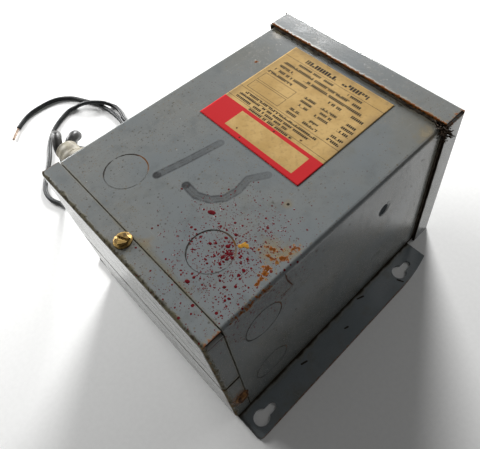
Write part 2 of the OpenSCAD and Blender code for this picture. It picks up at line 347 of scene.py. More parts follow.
def seat(piece: Piece, slot: str) -> Piece:
    """Links a piece, lets it ride on the fixed body and reports it."""
    bpy.context.scene.collection.objects.link(piece)
    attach(piece, "root")
    LOG.info("piece %s in %s", piece.name, slot)
    return piece


def unit(vectors: np.ndarray) -> np.ndarray:
    """Vectors brought to length 1."""
    return vectors / np.linalg.norm(vectors, axis=-1, keepdims=True)


def smooth_route(points: np.ndarray, steps: int) -> np.ndarray:
    """Smooth curve through a route's points.

    Between b and c, with neighbours a and d, the point at share t is half of
    2b + (c - a)t + (2a - 5b + 4c - d)t^2 + (3b - a - 3c + d)t^3; an end point is its own neighbour.

    Args:
        points: the route's points.
        steps: stretches between two points.

    Returns:
        The curve's points.
    """
    padded = np.concatenate([points[:1], points, points[-1:]])
    a, b, c, d = (padded[i:len(points) - 1 + i, None] for i in range(4))
    t = (np.arange(steps) / steps)[None, :, None]
    curve = (2 * b + (c - a) * t + (2 * a - 5 * b + 4 * c - d) * t ** 2
             + (3 * b - a - 3 * c + d) * t ** 3) / 2
    return np.concatenate([curve.reshape(-1, 3), points[-1:]])


def turns(sides: int) -> np.ndarray:
    """Angles of equal steps round a circle, in radians."""
    return np.arange(sides) * 2 * np.pi / sides


def carried(sides: int, path: np.ndarray, swell: np.ndarray, hint: Place) -> np.ndarray:
    """Round profile carried along a path.

    Each ring is the path's point plus the swell times a circle, laid out on a side direction,
    which is the hint made square to the path, and on the cross product of path and side.

    Args:
        sides: points round the profile.
        path: points of the path, by 3.
        swell: radius at each point of the path.
        hint: direction that the path never follows.

    Returns:
        Rings of points, as path by profile by 3.
    """
    heading = unit(np.gradient(path, axis=0))
    side = unit(np.asarray(hint) - (heading @ np.asarray(hint))[:, None] * heading)
    other = np.cross(heading, side)
    angle = turns(sides)[None, :, None]
    ring = np.cos(angle) * side[:, None] + np.sin(angle) * other[:, None]
    return path[:, None] + swell[:, None, None] * ring


@dataclass(frozen=True)
class PhotoCamera:
    """Camera at the photograph's viewpoint, in millimetres of the frame."""

    place: Place = (138.2, -105.3, 299.6)
    aim: Place = (4.2, 17.9, 60.0)
    upward: Place = (-0.546, 0.581, 0.604)
    lens: float = 37.5
    sensor: float = 36.0
    shift: Spot = (-0.1075, -0.0822)
    clip: Spot = (0.01, 20.0)

    def build(self) -> None:
        """Makes the camera and gives it to the scene."""
        data = bpy.data.cameras.new("photo_camera")
        data.lens = self.lens
        data.sensor_fit = "HORIZONTAL"
        data.sensor_width = self.sensor
        data.shift_x, data.shift_y = self.shift
        data.clip_start, data.clip_end = self.clip
        camera = bpy.data.objects.new("photo_camera", data)
        bpy.context.scene.collection.objects.link(camera)
        back = (Vector(self.place) - Vector(self.aim)).normalized()
        right = Vector(self.upward).cross(back).normalized()
        turn = Matrix((right, back.cross(right), back)).transposed()
        camera.matrix_world = Matrix.Translation(Vector(self.place) * MM) @ turn.to_4x4()
        bpy.context.scene.camera = camera


@dataclass(frozen=True)
class AreaLight:
    """One soft lamp of the studio, in metres and watts."""

    name: str
    place: Place
    aim: Place
    size: float
    power: float

    def build(self) -> None:
        """Hangs the lamp and turns it to its aim."""
        data = bpy.data.lights.new(self.name, "AREA")
        data.shape = "DISK"
        data.size = self.size
        data.energy = self.power
        lamp = bpy.data.objects.new(self.name, data)
        bpy.context.scene.collection.objects.link(lamp)
        lamp.location = self.place
        lamp.rotation_mode = "QUATERNION"
        lamp.rotation_quaternion = (Vector(self.aim) - Vector(self.place)).to_track_quat("-Z", "Y")


@dataclass(frozen=True)
class Studio:
    """Pale floor and soft light round the part."""

    floor_half: float = 3.0
    floor_colour: Colour = (0.86, 0.86, 0.85)
    floor_dark: float = 0.97
    ambient: float = 0.12
    lamps: tuple[AreaLight, ...] = (
        AreaLight("key", (-0.85, 1.05, 0.55), (0.0, 0.0, 0.05), 0.55, 37.0),
        AreaLight("end_fill", (-0.95, -0.2, 0.42), (0.0, -0.05, 0.0), 0.5, 12.0),
        AreaLight("side_fill", (0.2, 0.42, 0.6), (0.07, 0.05, 0.0), 0.3, 0.4))

    def build(self) -> None:
        """Lays the floor, hangs the lamps and sets the ambient light."""
        coat = Coat("studio_floor", tuple(self.floor_dark * part for part in self.floor_colour), 0.6)
        coat.lay(self.floor_colour, None, coat.ease(coat.noise(400.0, 3.0), 0.3, 0.7))
        half = self.floor_half
        corners = [(-half, -half, 0), (half, -half, 0), (half, half, 0), (-half, half, 0)]
        mesh = bpy.data.meshes.new("floor")
        mesh.from_pydata(corners, [], [(0, 1, 2, 3)])
        mesh.materials.append(coat.finish())
        floor = bpy.data.objects.new("floor", mesh)
        bpy.context.scene.collection.objects.link(floor)
        world = bpy.data.worlds.new("studio")
        world.use_nodes = True
        glow = world.node_tree.nodes["Background"]
        glow.inputs["Color"].default_value = (1.0, 1.0, 1.0, 1.0)
        glow.inputs["Strength"].default_value = self.ambient
        bpy.context.scene.world = world
        bpy.context.scene.view_settings.view_transform = "Standard"
        for lamp in self.lamps:
            lamp.build()


class Panel(Enum):
    """Painted panels, each with wear of its own."""

    WRAP = "wrap"
    CAP = "cap"
    COVER = "cover"
    PLATE = "plate"


class Stain(Enum):
    """What has gathered in the cut round a knockout."""

    RUST = "rust"
    DIRT = "dirt"


@dataclass(frozen=True)
class Enamel:
    """Worn gloss enamel on sheet steel, with the dirt, rust and spatter of one panel and some painted shade
    and highlight, in millimetres.

    Marks on the front lie across from its middle and above the bottom end, those on the right side
    above the bottom end and out of the wall, and blots end with a radius and streaks with a half width.
    """

    name: str
    panel: Panel
    paint: Colour = (0.163, 0.180, 0.186)
    faded: Colour = (0.190, 0.196, 0.188)
    deep: Colour = (0.118, 0.130, 0.132)
    slate: Colour = (0.150, 0.180, 0.200)
    fleck: Colour = (0.045, 0.038, 0.028)
    # Dark grime, also laid as painted shade in the covers' open corners.
    grime_and_shade: Colour = (0.020, 0.014, 0.008)
    olive: Colour = (0.115, 0.098, 0.052)
    rust: Colour = (0.270, 0.074, 0.005)
    ochre: Colour = (0.205, 0.140, 0.040)
    # Painted shade for the dimple on the right side.
    dimple_shade: Colour = (0.012, 0.018, 0.022)
    stain: Colour = (0.150, 0.066, 0.016)
    dust: Colour = (0.105, 0.080, 0.042)
    old_rust: Colour = (0.070, 0.022, 0.006)
    # Chalky pale paint, also laid as a painted highlight on the covers' corner ledges.
    chalk_and_highlight: Colour = (0.400, 0.400, 0.380)
    ink: Colour = (0.030, 0.032, 0.035)
    spatter: Colour = (0.092, 0.002, 0.005)
    gloss: float = 0.17
    rust_blots: tuple[Place, ...] = (
        (57.2, 46.1, 0.9), (54.6, 52.0, 0.7), (47.0, 45.0, 0.6), (-46.0, 129.5, 1.2))
    haze_blots: tuple[Place, ...] = (
        (51.0, 48.5, 9.0), (58.0, 52.0, 6.0), (39.4, 70.7, 3.6), (8.0, 12.0, 6.0), (60.0, 150.0, 9.0),
        (-55.0, 157.0, 7.0))
    pock: Spot = (39.4, 70.7)
    rust_streaks: tuple[tuple[Spot, Spot, float], ...] = (
        ((56.2, 41.6), (57.6, 38.6), 1.7), ((57.4, 39.0), (58.6, 33.0), 0.8),
        ((51.5, 45.2), (56.8, 46.6), 0.7), ((57.4, 48.8), (58.6, 50.6), 1.3),
        ((58.0, 55.4), (58.4, 57.4), 1.3), ((48.4, 48.4), (52.6, 49.6), 0.8))
    plate_scuffs: tuple[tuple[Spot, Spot], ...] = (
        ((66.0, 12.0), (67.5, 16.0)), ((76.0, 40.0), (79.5, 41.5)), ((69.0, -42.0), (70.0, -38.5)),
        ((73.0, -8.0), (73.6, -6.0)))
    cut_r: float = 10.9
    front_stains: tuple[tuple[int, float, float, Stain], ...] = (
        (-1, 84.0, 9.0, Stain.RUST), (-1, 135.0, 6.0, Stain.DIRT), (-1, 215.0, 6.0, Stain.DIRT),
        (1, 95.0, 8.0, Stain.DIRT), (1, 150.0, 7.0, Stain.DIRT), (1, 205.0, 8.0, Stain.DIRT),
        (1, 50.0, 6.0, Stain.RUST))
    side_stains: tuple[Spot, ...] = ((86.0, 0.9), (31.0, 0.75))
    dimple: Spot = (115.5, 82.5)
    side_chips: tuple[Spot, ...] = ((49.4, 67.1), (46.9, 62.6), (35.8, 64.7), (70.0, 84.0), (88.0, 52.0))
    side_crack: tuple[Spot, ...] = ((45.0, 110.0), (45.8, 103.4), (48.4, 95.4), (45.6, 94.1), (41.6, 94.8))
    ink_strokes: tuple[tuple[Spot, ...], ...] = (
        ((-19.4, 39.1), (-15.9, 55.5), (-12.8, 73.8)),
        ((-4.0, 45.0), (4.0, 44.5), (11.0, 47.5), (15.5, 53.0), (16.5, 60.0), (15.0, 68.0), (20.0, 76.0)))

    def build(self) -> Finish:
        """Lays the paint, then what the panel has gathered on it and the shade painted on it; dull layers
        have little sheen.
        """
        coat = self.painted()
        wear = {Panel.WRAP: self.wear_wrap, Panel.CAP: self.wear_cap,
                Panel.COVER: self.wear_cover, Panel.PLATE: self.wear_plate}
        wear[self.panel](coat)
        dents = coat.times(coat.noise(26.0, 2.0), 1.6)
        peel = coat.times(coat.noise(520.0, 2.0), 0.16)
        sheen = coat.ease(coat.roughness, 0.3, 0.6, 0.5, 0.05)
        return coat.finish(coat.plus(dents, peel, coat.height), 0.1, sheen)

    def painted(self) -> Coat:
        """Clouded paint with mottles, flecks, chalky dots and hairline scratches."""
        coat = Coat(self.name, self.paint, self.gloss)
        clouds = coat.ease(coat.noise(15.0), 0.35, 0.65)
        coat.lay(self.faded, None, clouds)
        coat.lay(self.deep, 0.26, coat.ease(coat.noise(110.0, 6.0, 0.62), 0.48, 0.72), 0.5)
        coat.lay(self.olive, 0.3, coat.ease(coat.noise(58.0, 6.0, 0.68), 0.54, 0.76), 0.3)
        crowd = coat.ease(coat.noise(32.0, 3.0), 0.3, 0.65)
        for shade, scale, size, keep, share in (
                (self.fleck, 330.0, 0.22, 0.25, 0.75), (self.fleck, 620.0, 0.32, 0.5, 0.75),
                (self.fleck, 1500.0, 0.4, 0.6, 0.6), (self.dust, 900.0, 0.42, 0.4, 0.7)):
            coat.lay(shade, 0.5, coat.specks(scale, size, coat.times(crowd, keep)), share)
        coat.lay(self.chalk_and_highlight, 0.4, coat.specks(190.0, 0.07, 0.2), 0.5)
        for turn, stretch in ((0.5, (16.0, 1.0, 1.0)), (-0.9, (1.0, 22.0, 2.0))):
            lines = coat.noise(24.0, 3.0, source=coat.stretched(stretch, (0.0, 0.0, turn)))
            thin = coat.ease(coat.apart(lines, 0.56), 0.006, 0.0)
            coat.lay(self.chalk_and_highlight, 0.45, thin, coat.ease(clouds, 0.3, 0.9), 0.22)
        return coat

    def dirty_seam(self, coat: Coat, distance: Wire, width: float, share: float = 1.0) -> None:
        """Olive dust beside a seam and dark grime in it."""
        ragged = coat.noise(140.0, 5.0, 0.62)
        coat.lay(self.olive, 0.55, coat.near(distance, 2.4 * width, ragged, 0.1), 0.6)
        coat.lay(self.grime_and_shade, 0.75, coat.near(distance, width, ragged, 0.3), share, lift=0.6)

    def rusty(self, coat: Coat, distance: Wire, reach: float, share: float = 1.0) -> None:
        """Rust with a darker, pitted heart."""
        ragged = coat.ease(coat.noise(560.0, 6.0, 0.72), 0.3, 0.7, -0.2, 1.2)
        coat.lay(self.ochre, 0.6, coat.near(distance, 1.8 * reach, ragged, 0.1), 0.5 * share)
        coat.lay(self.rust, 0.85, coat.near(distance, reach, ragged, 0.6), share, lift=0.15)
        coat.lay(self.old_rust, 0.9, coat.near(distance, 0.75 * reach, ragged, 0.4), 0.75 * share)

    def spattered(self, coat: Coat) -> None:
        """Dried dark-red spatter, densest beside the right front knockout."""
        crowd = coat.ease(coat.from_point(LAYOUT.on_front(*LAYOUT.spatter)), 46 * MM, 4 * MM)
        for scale, size, keep, lift in ((430.0, 0.34, 0.3, 0.3), (760.0, 0.46, 0.55, 0.2),
                                        (1400.0, 0.5, 0.5, 0.1)):
            coat.lay(self.spatter, 0.55, coat.specks(scale, size, coat.times(crowd, keep)), lift=lift)

    def inked(self, coat: Coat, points: Sequence[Spot]) -> None:
        """Dry marker stroke, darker along its two sides and at its start."""
        route = [LAYOUT.on_front(*point) for point in points]
        away, begun = coat.from_route(route), coat.from_point(route[0])
        streaks = coat.ease(coat.noise(260.0, 6.0, 0.7), 0.3, 0.58, 0.5, 1.0)
        fading = coat.ease(begun, 18 * MM, 42 * MM, 1.0, 0.75)
        sides = coat.ease(coat.apart(away, 1.7 * MM), 0.9 * MM, 0.1 * MM)
        inner = coat.ease(away, 2.2 * MM, 1.4 * MM)
        lines = coat.ease(coat.math("SINE", coat.times(away, 7400.0)), -1.0, 1.0, 0.5, 1.0)
        stroke = coat.most(coat.times(sides, 0.95), coat.times(inner, lines, 0.78))
        coat.lay(self.ink, 0.4, stroke, streaks, fading)
        coat.lay(tuple(0.4 * part for part in self.ink), 0.4, coat.ease(begun, 2.6 * MM, 1.6 * MM), streaks)

    def knockout_stains(self, coat: Coat) -> None:
        """Rust and dirt along stretches of the cuts round the knockouts."""
        ragged = coat.noise(300.0, 5.0, 0.6)
        across, up = LAYOUT.knockout
        for side, degrees, reach, kind in self.front_stains:
            turn = np.radians(degrees)
            cut = coat.apart(coat.from_point(LAYOUT.on_front(side * across, up)), self.cut_r * MM)
            heart = coat.from_point(LAYOUT.on_front(side * across + self.cut_r * float(np.cos(turn)),
                                                    up + self.cut_r * float(np.sin(turn))))
            coat.lay(self.stain if kind is Stain.RUST else self.grime_and_shade, 0.75, coat.near(cut, 0.55, ragged),
                     coat.ease(heart, reach * MM, 0.6 * reach * MM), 0.85)
        for out, share in self.side_stains:
            cut = coat.apart(coat.from_point(LAYOUT.on_right(up, out)), self.cut_r * MM)
            coat.lay(self.grime_and_shade, 0.6, coat.near(cut, 0.45, ragged), share)

    def wear_wrap(self, coat: Coat) -> None:
        """Wear of the front and sides, with a painted shade in the dimple on the right side."""
        ragged = coat.noise(300.0, 5.0, 0.6)
        warm = coat.ease(coat.y, LAYOUT.bottom + 60 * MM, LAYOUT.top)
        coat.lay(self.olive, None, warm, coat.ease(coat.noise(38.0), 0.3, 0.7), 0.35)
        for *spot, radius in self.haze_blots:
            haze = coat.near(coat.from_point(LAYOUT.on_front(*spot)), radius, ragged, 0.0)
            coat.lay(self.ochre, 0.4, haze, 0.5)
        for points in self.ink_strokes:
            self.inked(coat, points)
        self.dirty_seam(coat, coat.less(LAYOUT.skirt, coat.y), 1.5)
        self.dirty_seam(coat, coat.less(coat.y, LAYOUT.seam), 0.55, 0.25)
        self.dirty_seam(coat, coat.less(coat.z, LAYOUT.plate), 1.2)
        self.spattered(coat)
        for *spot, radius in self.rust_blots:
            self.rusty(coat, coat.from_point(LAYOUT.on_front(*spot)), radius)
        for start, end, half in self.rust_streaks:
            self.rusty(coat, coat.from_line(LAYOUT.on_front(*start), LAYOUT.on_front(*end)), half)
        edge = coat.from_line(*((LAYOUT.right, LAYOUT.bottom + up * MM, LAYOUT.front) for up in (17, 36)))
        self.rusty(coat, edge, 1.2, 0.8)
        coat.lay(self.grime_and_shade, 0.8, coat.ease(coat.from_point(LAYOUT.on_front(*self.pock)), 1.0 * MM, 0.5 * MM))
        beside = coat.from_line(*((across * MM, LAYOUT.seam, LAYOUT.front) for across in (2, 40)))
        coat.lay(self.olive, 0.5, coat.near(beside, 4.0, ragged, 0.0), 0.55)
        self.knockout_stains(coat)
        # Painted shade: the dimple on the right side is darkened in the paint.
        dimple = coat.ease(coat.from_point(LAYOUT.on_right(*self.dimple)), 4.5 * MM, 3.2 * MM)
        coat.lay(self.dimple_shade, 0.6, dimple, 0.95)
        smears = coat.noise(46.0, 5.0, 0.62, coat.stretched((1.0, 3.2, 0.6), (0.5, 0.0, 0.0)))
        on_side = coat.above(coat.x, LAYOUT.right - 0.4 * MM)
        coat.lay(self.deep, 0.34, on_side, coat.ease(smears, 0.5, 0.66), 0.5)
        coat.lay(self.fleck, 0.6, on_side, coat.specks(210.0, 0.2, 0.35), 0.8)
        for spot in self.side_chips:
            coat.lay(self.grime_and_shade, 0.7, coat.near(coat.from_point(LAYOUT.on_right(*spot)), 0.8, ragged))
        crack = coat.from_route([LAYOUT.on_right(*spot) for spot in self.side_crack])
        coat.lay(self.old_rust, 0.8, coat.near(crack, 0.5, ragged), 0.85)

    def wear_cap(self, coat: Coat) -> None:
        """Wear of the top cap, with rust on both front corners and the front hem."""
        self.dirty_seam(coat, coat.less(coat.y, LAYOUT.skirt), 0.9)
        low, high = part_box("top_cap")
        for start, end, reach, share in (((high.x, low.y), (high.x, high.y), 1.8, 0.7),
                                         ((low.x, low.y), (low.x, high.y), 0.8, 0.5),
                                         ((low.x, low.y), (high.x, low.y), 0.9, 0.75)):
            self.rusty(coat, coat.from_line((*start, high.z), (*end, high.z)), reach, share)

    def wear_cover(self, coat: Coat) -> None:
        """Wear of the two bottom covers, with a scuffed end face and painted shade and a painted highlight in
        the open corners.
        """
        ragged = coat.noise(240.0, 5.0, 0.62)
        rise = coat.less(coat.y, LAYOUT.bottom)
        end = coat.ease(rise, 0.5 * MM, 0.1 * MM)
        coat.lay(self.chalk_and_highlight, 0.2, end, 0.35)
        for scale, cut, share, shade in ((30.0, 0.57, 0.5, self.deep), (70.0, 0.63, 0.6, self.fleck),
                                         (45.0, 0.6, 0.4, self.chalk_and_highlight)):
            source = coat.stretched((0.35, 1.0, 7.0), (0.0, 0.04 * scale / 30, 0.0))
            streaks = coat.noise(scale, source=source)
            coat.lay(shade, 0.4, end, coat.ease(streaks, cut, cut + 0.06), share)
        self.dirty_seam(coat, coat.less(LAYOUT.seam, coat.y), 0.5, 0.25)
        split = (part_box("bottom_cover_front")[0].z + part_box("bottom_cover_rear")[1].z) / 2
        self.dirty_seam(coat, coat.apart(coat.z, split), 1.5)
        fold = coat.times(coat.near(rise, 2.8, ragged, 0.3), coat.ease(rise, 0.02 * MM, 0.25 * MM))
        coat.lay(self.olive, 0.7, fold, 0.85)
        coat.lay(self.grime_and_shade, 0.7, fold, coat.ease(coat.noise(520.0), 0.5, 0.6), 0.75)
        for side, reach in ((LAYOUT.left, 0.6), (LAYOUT.right, 1.1)):
            foot = (side, LAYOUT.bottom, LAYOUT.front)
            corner = coat.from_line(foot, (side, LAYOUT.seam, LAYOUT.front))
            self.rusty(coat, corner, reach, 0.6)
            coat.lay(self.old_rust, 0.8, coat.near(corner, 1.0, ragged, 0.2), 0.8)
            self.rusty(coat, coat.from_line(foot, (side, LAYOUT.bottom, 0.0)), 0.6, 0.6)
            self.rusty(coat, coat.from_point((side, *LAYOUT.on_right(*LAYOUT.side_screw)[1:])), 6.5, 0.5)
        # Painted shade and highlight in the open corners: painted shade in the gap under the front band's
        # edge, a painted highlight on the side band's ledge, and below it a dark line that is part grime and
        # part painted shadow.
        drop = coat.less(LAYOUT.front, coat.z)
        painted_corner_band = coat.above(coat.math("ABSOLUTE", coat.x), LAYOUT.right - 1.6 * MM)
        painted_corner_band = coat.times(painted_corner_band, coat.above(rise, 1.9 * MM))
        for top, low, share, shade in ((0.25, 1.6, 1.0, self.grime_and_shade), (3.9, 4.1, 0.9, self.chalk_and_highlight),
                                       (4.6, 5.5, 0.8, self.grime_and_shade)):
            coat.lay(shade, 0.6, painted_corner_band, coat.within(drop, top * MM, low * MM), share)
        halo = coat.near(coat.from_point(LAYOUT.on_front(*LAYOUT.front_screw)), 8.0, ragged, 0.4)
        coat.lay(self.olive, 0.5, halo, 0.4)
        self.spattered(coat)

    def wear_plate(self, coat: Coat) -> None:
        """Wear of the back plate, whose flanges are bluer and dirtier than the body."""
        ragged = coat.noise(160.0, 5.0, 0.6)
        coat.lay(self.slate, 0.2, 0.6)
        aside = coat.math("ABSOLUTE", coat.x)
        self.dirty_seam(coat, coat.apart(aside, LAYOUT.right), 1.7)
        for scuff in self.plate_scuffs:
            mark = coat.from_line(*((x * MM, y * MM, LAYOUT.plate) for x, y in scuff))
            coat.lay(self.grime_and_shade, 0.7, coat.near(mark, 0.7, ragged))
        coat.lay(self.olive, 0.45, coat.ease(coat.noise(70.0, 5.0), 0.5, 0.75), 0.4)
        low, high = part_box("back_plate")
        self.rusty(coat, coat.less(high.x, aside), 0.35, 0.35)
        coat.lay(self.grime_and_shade, 0.6, coat.near(coat.less(coat.y, low.y), 3.0, ragged, 0.2), 0.7)


@dataclass(frozen=True)
class PlainCoat:
    """Finish of two clouded shades with a fine grain."""

    name: str
    light: Colour
    dark: Colour
    roughness: float
    cloud_scale: float = 90.0
    grain_scale: float = 700.0
    metallic: float = 0.0
    relief: float = 0.06
    specular: float = 0.5

    def build(self) -> Finish:
        """Clouds of both shades, duller where they are dark, over a fine grain."""
        coat = Coat(self.name, self.light, self.roughness)
        clouds = coat.ease(coat.noise(self.cloud_scale, 5.0, 0.6), 0.38, 0.66)
        coat.lay(self.dark, min(1.0, self.roughness + 0.18), clouds)
        coat.lay(self.dark, 0.7, coat.specks(self.grain_scale, 0.28, 0.4), 0.5)
        return coat.finish(coat.noise(self.grain_scale), self.relief, self.specular, self.metallic)


@dataclass(frozen=True)
class LabelPaper:
    """Aged tan paper with rules, greeked print and a red panel round a bare inset.

    Measures are in millimetres from the lower left corner; a row has its lower and upper limits and
    the runs of print in it.
    """

    name: str = "label_paper"
    width: float = 73.6
    height: float = 74.0
    tan: Colour = (0.420, 0.272, 0.100)
    pale: Colour = (0.530, 0.358, 0.145)
    brown: Colour = (0.250, 0.165, 0.075)
    ink: Colour = (0.022, 0.018, 0.015)
    red: Colour = (0.480, 0.018, 0.022)
    stain: Colour = (0.060, 0.024, 0.010)
    panel_top: float = 18.3
    inset: tuple[Row, ...] = ((3.4, 16.0, ((16.7, 65.9),)),)
    rules: tuple[float, ...] = (20.6, 29.4, 65.4)
    rule_half: float = 0.14
    bold: tuple[Row, ...] = ((67.0, 70.2, ((14.0, 37.0), (42.0, 60.0))),)
    small: tuple[Row, ...] = (
        (62.6, 64.3, ((13, 40), (50, 60))), (58.6, 60.6, ((5, 62),)), (54.8, 56.8, ((5, 16), (24, 66))),
        (51.0, 53.0, ((5, 30), (46, 55), (62, 70))), (47.4, 49.2, ((3, 24),)),
        (45.2, 47.0, ((34, 42), (46, 57), (64, 70))), (42.0, 43.8, ((34, 42), (48, 56), (63, 71))),
        (38.8, 40.6, ((35, 42), (47, 57), (63, 71))), (34.0, 35.8, ((34, 41), (48, 54), (63, 71))),
        (31.0, 32.8, ((34, 41), (46, 56), (63, 71))), (26.6, 28.2, ((7, 60),)), (24.0, 25.6, ((5, 58),)),
        (21.4, 23.0, ((5, 44),)), (18.7, 20.2, ((18, 50),)))
    frames: tuple[Row, ...] = ((39.0, 46.0, ((3.5, 28.0),)), (31.0, 38.0, ((3.5, 28.0),)))
    frame_line: float = 0.3
    spots: tuple[Place, ...] = ((54.5, 22.0, 0.9), (24.0, 5.5, 0.7), (40.0, 17.0, 0.8), (30.0, 2.0, 0.6))

    def build(self) -> Finish:
        """Paper, then the red panel, the print and the rules, then stains."""
        coat = Coat(self.name, self.tan, 0.7)
        u, v = coat.unwrapped()
        across, up = coat.times(u, self.width), coat.times(v, self.height)

        def printed(rows: Sequence[Row], inset: float = 0.0) -> Wire:
            """Mask of rows of print, each run drawn in by the inset."""
            return coat.most(*(coat.times(coat.within(across, left + inset, right - inset),
                                          coat.within(up, low + inset, high - inset))
                               for low, high, runs in rows for left, right in runs))

        clouds = coat.noise(60.0, 5.0, 0.6)
        coat.lay(self.pale, None, coat.ease(clouds, 0.35, 0.65))
        coat.lay(self.brown, None, coat.ease(coat.noise(520.0), 0.5, 0.7), 0.35)
        rim = coat.least(across, coat.less(self.width, across), up, coat.less(self.height, up))
        coat.lay(self.brown, None, coat.ease(rim, 7.0, 0.0), coat.ease(clouds, 0.4, 0.6), 0.75)
        worn = coat.ease(coat.noise(260.0), 0.68, 0.74, 1.0, 0.55)
        coat.lay(self.red, 0.6, coat.below(up, self.panel_top), coat.less(1.0, printed(self.inset)), worn)
        wavy = coat.noise(1700.0, 2.0)
        fade = coat.ease(coat.noise(170.0), 0.25, 0.55, 0.85, 1.0)
        for size, rows, cut in ((1.9, self.bold, 0.2), (1.15, self.small, 0.28)):
            column, row = coat.math("DIVIDE", across, size), coat.math("DIVIDE", up, 2.0 * size)
            corner = {0: coat.math("FLOOR", column), 1: coat.math("FLOOR", row)}
            cell = {"Vector": coat.node("ShaderNodeCombineXYZ", corner).outputs[0]}
            chance = coat.node("ShaderNodeTexWhiteNoise", cell, noise_dimensions="2D")
            filled = coat.above(chance.outputs["Value"], 0.17)
            stroke = coat.within(coat.math("FRACT", column), 0.1, 0.88)
            broken = coat.ease(wavy, cut - 0.05, cut + 0.05)
            coat.lay(self.ink, 0.7, printed(rows), filled, stroke, broken, fade)
        lines = [coat.within(up, rule - self.rule_half, rule + self.rule_half) for rule in self.rules]
        lines.append(coat.less(printed(self.frames), printed(self.frames, self.frame_line)))
        coat.lay(self.ink, 0.5, coat.most(*lines), fade, 0.85)
        for left, low, reach in self.spots:
            aside, aloft = coat.less(across, left), coat.less(up, low)
            away = coat.math("SQRT", coat.plus(coat.times(aside, aside), coat.times(aloft, aloft)))
            coat.lay(self.stain, 0.7, coat.near(coat.times(away, MM), reach, coat.noise(900.0, 3.0)))
        height = coat.plus(coat.times(coat.noise(900.0), 0.3), coat.noise(70.0, 3.0))
        return coat.finish(height, 0.08, 0.03)


@dataclass(frozen=True)
class ScoredPaint:
    """Paint in the cut round a knockout: rusty on one arc, dark on the next, and a painted highlight, paler
    than the enamel, on the rest.
    """

    name: str = "knockout_score"
    # Painted highlight: the rest of the ring is paler than the enamel around it.
    pale_highlight: Colour = (0.210, 0.210, 0.195)
    dark: Colour = (0.014, 0.011, 0.009)
    rust: Colour = (0.230, 0.085, 0.016)
    rust_arc: tuple[float, ...] = (0.08, 0.15, 0.26, 0.36)
    dark_arc: tuple[float, ...] = (0.22, 0.30, 0.66, 0.80)

    def build(self) -> Finish:
        """Shades that fade in and out between four shares of a turn, broken up by noise."""
        coat = Coat(self.name, self.pale_highlight, 0.3)
        share = coat.unwrapped()[0]
        patchy = coat.ease(coat.noise(330.0), 0.3, 0.55, 0.5, 1.0)
        for shade, dull, (start, full, last, end) in ((self.dark, 0.7, self.dark_arc),
                                                      (self.rust, 0.85, self.rust_arc)):
            coat.lay(shade, dull, coat.ease(share, start, full), coat.ease(share, end, last), patchy)
        return coat.finish(coat.noise(800.0, 3.0), 0.05)


class Enclosure:
    """Sheet-steel housing, whose solids keep their shape and get their finishes here."""

    def dress(self) -> None:
        """Gives every solid of the housing its finish."""
        wrap = Enamel("enamel_wrap", Panel.WRAP).build()
        cover = Enamel("enamel_cover", Panel.COVER).build()
        # Painted shade: the inner collar is coloured near black so that the gaps where it shows read dark.
        inner = PlainCoat("inner_steel", (0.045, 0.040, 0.034), (0.014, 0.012, 0.010), 0.7).build()
        resin = PlainCoat("cast_resin", (0.05, 0.05, 0.048), (0.02, 0.019, 0.018), 0.6).build()
        finishes = {"enclosure_wrap": wrap, "bottom_cover_front": cover, "bottom_cover_rear": cover,
                    "top_cap": Enamel("enamel_cap", Panel.CAP).build(), "inner_collar": inner,
                    "back_plate": Enamel("enamel_plate", Panel.PLATE).build(), "potted_core": resin}
        finishes.update({node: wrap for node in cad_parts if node.startswith("knockout_")})
        for node, finish in finishes.items():
            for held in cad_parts[node].material_slots:
                held.material = finish
            LOG.info("solid %s in %s", node, finish.name)


@dataclass
class RatingLabel:
    """Paper label on the front, a little cockled, in millimetres."""

    points: int = 90
    thickness: float = 0.08
    cockle: float = 0.05
    waves: tuple[Place, ...] = ((9.0, 4.0, 0.3), (5.0, 11.0, 1.9), (14.0, 9.0, 4.0))

    def build(self) -> None:
        """Builds the sheet over the label's solid.

        The height over the front is the solid's thickness less the cockle times a sum of sine waves of
        both parameters, so that the sheet stays within the solid.
        """
        low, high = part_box("rating_label")
        u, v = np.meshgrid(np.linspace(0, 1, self.points), np.linspace(0, 1, self.points))
        wave = sum(np.sin(a * u + b * v + c) for a, b, c in self.waves) / len(self.waves)
        z = high.z - self.cockle * MM * (0.5 + 0.5 * wave)
        grid = np.stack([low.x + u * (high.x - low.x), low.y + v * (high.y - low.y), z], axis=-1)
        sheet = grid_piece("paper_label", grid[None], False, LabelPaper().build(), "label_paper",
                           np.stack([u, v], axis=-1))
        body = sheet.modifiers.new("paper", "SOLIDIFY")
        body.thickness = self.thickness * MM
        body.offset = -1.0
        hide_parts("rating_label")


